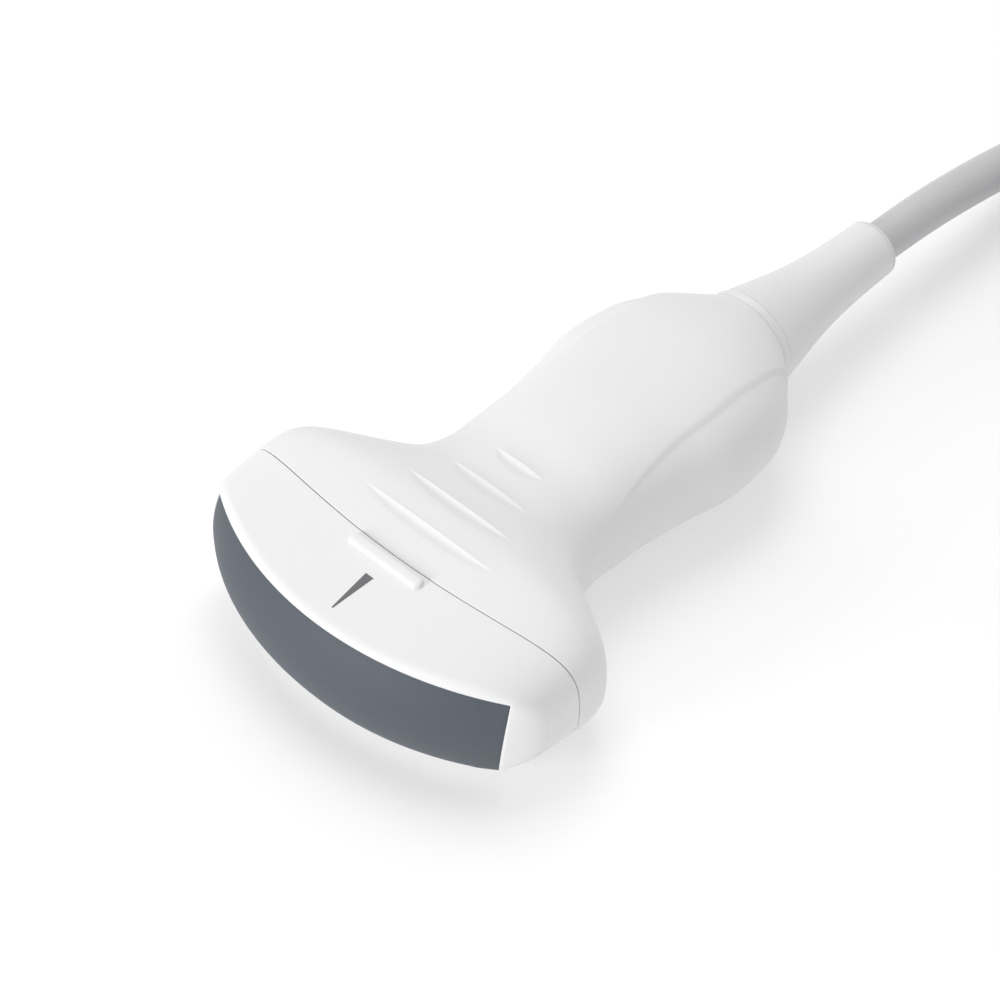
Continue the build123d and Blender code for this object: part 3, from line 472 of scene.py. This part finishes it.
LEAD_SHIFT, LEAD_END = 0.0075, 0.0175
# A quadratic spline passes inside its control points, at this share of their radius.
INSIDE = 0.75 + 0.25 * math.cos(2 * math.pi / STEPS)
cable_jacket = grained("cable_jacket", (0.59, 0.592, 0.60), (0.555, 0.557, 0.565), 0.5, 0.42, 0.004)
points = [(EXIT_X + x, 0.0, z) for x, z in ROUTE]
for number in range(1, LAST_TURN * STEPS + LEAD_STEPS + 1):
    this_turn, share = number // STEPS, (number % STEPS) / STEPS
    change = np.clip((share - CHANGE_FROM) / CHANGE_LENGTH, 0, 1)
    radius, height = (1 - change) * TURNS[this_turn] + change * TURNS[min(this_turn + 1, LAST_TURN)]
    swing = math.pi / 2 - 2 * math.pi * number / STEPS
    spread = radius / INSIDE
    points.append((COIL_X + spread * math.cos(swing), spread * math.sin(swing) - OUTER, height))
lead_x = COIL_X + OUTER * math.cos(swing) - LEAD_SHIFT * math.tan(swing)
lead_y = OUTER * (math.sin(swing) - 1) + LEAD_SHIFT
points += [(lead_x, lead_y, LEVELS[1]), (lead_x - LEAD_END, lead_y, LEVELS[1])]
curve = bpy.data.curves.new("cable_run", "CURVE")
curve.dimensions = "3D"
curve.bevel_depth = CABLE_RADIUS
curve.bevel_resolution = 6
curve.resolution_u = 6
spline = curve.splines.new("NURBS")
spline.points.add(len(points) - 1)
spline.points.foreach_set("co", np.column_stack([points, np.ones(len(points))]).ravel())
spline.order_u = 3
spline.use_endpoint_u = True
curve.materials.append(cable_jacket)
cable = bpy.data.objects.new("cable_run", curve)
bpy.context.scene.collection.objects.link(cable)
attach(cable, "root")
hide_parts("cable", "cable_coil")
dress(cable_jacket, "cable_inner_end")


# Coil tie: a dark woven strap, wrapped once round the coil's turns and closed on itself. It holds the spare
# cable together.
TIE_THICK, TIE_ROUND, TIE_HEM, TIE_HEM_AT, TIE_FLAT_AT = 0.8, 3.8, 0.06, 0.2, 0.5
tie_weave = grained("tie_weave", (0.055, 0.056, 0.06), (0.03, 0.031, 0.034), 0.5, 0.8, 0.06)
tie_low, tie_high = (np.array(corner) * 1000.0 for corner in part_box("coil_tie"))


def rounded_outline(half_a, half_b, size, count=10):
    """Closed outlines of rectangles with rounded corners, a row for each inset, counter-clockwise from the
    right-hand side: each corner's centre plus the corner's size turned through a quarter."""
    half_a, half_b, size = (values[:, None] for values in (half_a, half_b, size))
    quarter = np.repeat(np.arange(4), count)
    swing = quarter * math.pi / 2 + np.tile(np.linspace(0, math.pi / 2, count), 4)
    side_a, side_b = np.array([1, -1, -1, 1])[quarter], np.array([1, 1, -1, -1])[quarter]
    return np.stack([side_a * (half_a - size) + size * np.cos(swing),
                     side_b * (half_b - size) + size * np.sin(swing)], axis=-1)


def along_x(x, outlines):
    """Rows of points: each outline in y and z, at its own x."""
    return np.concatenate([np.broadcast_to(x[:, None, None], (*outlines.shape[:2], 1)), outlines], axis=-1)


tie_centre, tie_half = (tie_low + tie_high) / 2, (tie_high - tie_low) / 2
tie_width, tie_middle = 2 * tie_half[0], TIE_THICK / 2
tie_profile = [
    (0.0, tie_middle), (0.0, TIE_THICK), (tie_width, TIE_THICK), (tie_width, tie_middle),
    (tie_width - TIE_HEM_AT, TIE_HEM), (tie_width - TIE_FLAT_AT, 0.0), (tie_half[0], 0.0),
    (TIE_FLAT_AT, 0.0), (TIE_HEM_AT, TIE_HEM), (0.0, tie_middle)]
tie_x, tie_inset = np.array(tie_profile).T
tie_outlines = rounded_outline(tie_half[1] - tie_inset, tie_half[2] - tie_inset, TIE_ROUND - tie_inset)
tie_points = along_x(tie_low[0] + tie_x, tie_outlines + tie_centre[1:])
tie = grid_piece("coil_strap", tie_points, tie_weave, place=np.zeros(3))
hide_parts("coil_tie")


# Connector: two grey plastic shells moulded with grip ribs on their flanks, a ribbed rubber boot, a plated
# shroud and a black block of gold pads. It lies on the table beside the coil, at the cable's end.
PLUG_ROUND, PLUG_CORNER, PLUG_STEP, CORNER_POINTS, FLANK_POINTS = 1.0, 3.0, 0.25, 14, 12
END_SHARES, BACK_CLOSE, FRONT_CLOSE = [0.0, 0.1, 0.3, 0.6, 1.0], [1, 0.3, 0.3], [1, 0.80, 0.72]
RIB_FROM, RIB_TO, RIB_PITCH, RIB_DEPTH, RIB_REACH, FLANK_WITHIN = 6.0, 21.0, 2.5, 0.35, 7.5, 0.01
SLEEVE_RADIUS, SLEEVE_SPREAD, SLEEVE_BORE, SLEEVE_END_BORE = 4.7, 1.1, 3.7, 3.0
GROOVE_DEPTH, GROOVES, GROOVE_LAND, GROOVES_FROM, GROOVES_TO = 0.45, 4.5, 0.2, 0.12, 0.9
plug_low, plug_high = (np.array(corner) * 1000.0 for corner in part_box("connector_lower_shell"))
plug_axis, plug_y = plug_high[2], (plug_low[1] + plug_high[1]) / 2
plug_half_width, plug_length = (plug_high[1] - plug_low[1]) / 2, round(plug_high[0] - plug_low[0], 3)
connector_grey = grained("connector_plastic", (0.54, 0.55, 0.57), (0.50, 0.51, 0.53), 0.4, 0.5, 0.006)
end_steps = np.array(END_SHARES) * PLUG_ROUND
middle = np.arange(1.5 * PLUG_ROUND, plug_length - PLUG_ROUND, PLUG_STEP)
lengths = np.concatenate([end_steps, middle, plug_length - end_steps[::-1]])
to_end = np.clip(1 - np.minimum(lengths, plug_length - lengths) / PLUG_ROUND, 0, 1)
insets = PLUG_ROUND * (1 - np.sqrt(np.clip(1 - to_end**2, 0, 1)))
ribs = RIB_DEPTH * np.clip(0.5 + np.cos(lengths * 2 * math.pi / RIB_PITCH), 0, 1)
ribs = np.where((lengths > RIB_FROM) & (lengths < RIB_TO), ribs, 0.0)[:, None]
outlines = rounded_outline(plug_half_width - insets, plug_axis - insets, PLUG_CORNER - insets / 2,
                           CORNER_POINTS)
between = CORNER_POINTS - 1 + np.arange(1, FLANK_POINTS) / FLANK_POINTS
places = (np.arange(4)[:, None] * CORNER_POINTS + np.concatenate([np.arange(CORNER_POINTS), between])).ravel()
whole = np.floor(places).astype(int)
here, ahead = outlines[:, whole], outlines[:, (whole + 1) % (4 * CORNER_POINTS)]
outlines = here + (ahead - here) * (places - whole)[:, None]
flank = np.abs(outlines[..., 0]) > plug_half_width - insets[:, None] - FLANK_WITHIN
flank &= np.abs(outlines[..., 1]) < RIB_REACH
outlines[..., 0] -= np.sign(outlines[..., 0]) * np.where(flank, ribs, 0.0)
sides = along_x(lengths, outlines)
plug_points = np.concatenate([sides[:1] * BACK_CLOSE, sides, sides[-1:] * FRONT_CLOSE]) * [-1, -1, 1]
plug = grid_piece("connector_body", plug_points, connector_grey, flip=True,
                  place=np.array([plug_high[0], plug_y, plug_axis]))
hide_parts("connector_lower_shell", "connector_upper_shell")
connector_rubber = grained("connector_rubber", (0.31, 0.31, 0.32), (0.27, 0.27, 0.28), 0.5, 0.6, 0.006)
boot_low, boot_high = (np.array(corner) * 1000.0 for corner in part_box("connector_boot"))
run, sleeve_end = np.linspace(0, 1, 90), boot_low[0] - boot_high[0]
groove = GROOVE_DEPTH * np.clip(np.cos(run * 2 * math.pi * GROOVES) - GROOVE_LAND, 0, 1)
groove = np.where((run > GROOVES_FROM) & (run < GROOVES_TO), groove, 0.0)
taper = zip(sleeve_end * run, SLEEVE_RADIUS + SLEEVE_SPREAD * run - groove)
sleeve_profile = [(0.0, SLEEVE_BORE), *taper, (sleeve_end, SLEEVE_END_BORE)]
plug_boot = turned("connector_sleeve", sleeve_profile, connector_rubber,
                   place=np.array([boot_high[0], plug_y, plug_axis]), columns=64, flip=False)
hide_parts("connector_boot")
dress(grained("plated_shroud", (0.72, 0.72, 0.74), (0.64, 0.64, 0.66), 0.4, 0.22, 0.003, 1.0),
      "connector_shroud")
dress(grained("contact_plastic", (0.045, 0.045, 0.05), (0.03, 0.03, 0.034), 0.4, 0.5, 0.005), "contact_block")
dress(grained("gold_pads", (0.85, 0.62, 0.25), (0.78, 0.55, 0.20), 0.3, 0.25, 0.003, 1.0),
      "connector_contacts")


# Table: a plain white studio sheet, laid flat. It glows a little of itself, as a sheet lit through does, so
# that the probe's shade on it stays light. Its lengths are in metres.
TABLE_HALF, TABLE_GLOW = 4.0, 0.32
table_white = grained("table_white", (0.70, 0.70, 0.70), (0.69, 0.69, 0.69), 400.0, 0.7, 0.0)
table_shader = table_white.node_tree.nodes["Principled BSDF"]
table_shader.inputs["Emission Color"].default_value = (1.0, 1.0, 1.0, 1.0)
table_shader.inputs["Emission Strength"].default_value = TABLE_GLOW
floor_mesh = bpy.data.meshes.new("studio_floor")
floor_corners = np.array([(-1, -1, 0), (1, -1, 0), (1, 1, 0), (-1, 1, 0)]) * TABLE_HALF
floor_mesh.from_pydata(floor_corners.tolist(), [], [(0, 1, 2, 3)])
floor_mesh.materials.append(table_white)
floor = bpy.data.objects.new("studio_floor", floor_mesh)
bpy.context.scene.collection.objects.link(floor)


# Light and camera: a bright even room, one broad soft lamp high behind the probe on its far side, and a low
# one in front of the lens that lights the front edges. The camera stands as the photograph's did. Lengths are
# in metres.
ROOM_LIGHT = 0.60
AIM_FROM_APEX, CAMERA_DISTANCE, CAMERA_SHIFT, CAMERA_DROP = 0.070, 0.9, 0.0197, 0.0105
world = bpy.data.worlds.new("studio")
bpy.context.scene.world = world
world.use_nodes = True
world.node_tree.nodes["Background"].inputs["Color"].default_value = (1.0, 1.0, 1.0, 1.0)
world.node_tree.nodes["Background"].inputs["Strength"].default_value = ROOM_LIGHT
bpy.context.scene.view_settings.view_transform = "Standard"
azimuth, elevation = math.radians(-45.66), math.radians(46.31)
back = Vector((math.sin(azimuth) * math.cos(elevation), -math.cos(azimuth) * math.cos(elevation),
               math.sin(elevation)))
right = Vector((math.cos(azimuth), math.sin(azimuth), 0.0))
up_axis = back.cross(right)
aim = Vector((AIM_FROM_APEX + PROBE_PLACE[0] / 1000.0, 0.0, EXIT_Z))


def lamp(name, away, size, power):
    """Square soft lamp at a distance from the probe, facing it."""
    light = bpy.data.lights.new(name, "AREA")
    light.size = size
    light.energy = power
    holder = bpy.data.objects.new(name, light)
    holder.location = aim + Vector(away)
    holder.rotation_euler = (-Vector(away)).to_track_quat("-Z", "Y").to_euler()
    bpy.context.scene.collection.objects.link(holder)


lamp("high_back", away=(0.34, 0.54, 1.28), size=1.0, power=7.8)
lamp("low_front", away=(-1.36, 0.30, 0.34), size=0.5, power=10.0)
camera = bpy.data.cameras.new("photograph")
camera.sensor_width = 36.0
camera.lens = 193.1
camera.clip_end = 20.0
view = bpy.data.objects.new("photograph", camera)
stand = aim - right * CAMERA_SHIFT - up_axis * CAMERA_DROP + back * CAMERA_DISTANCE
view.matrix_world = Matrix(((right.x, up_axis.x, back.x, stand.x), (right.y, up_axis.y, back.y, stand.y),
                            (right.z, up_axis.z, back.z, stand.z), (0, 0, 0, 1)))
bpy.context.scene.collection.objects.link(view)
bpy.context.scene.camera = view
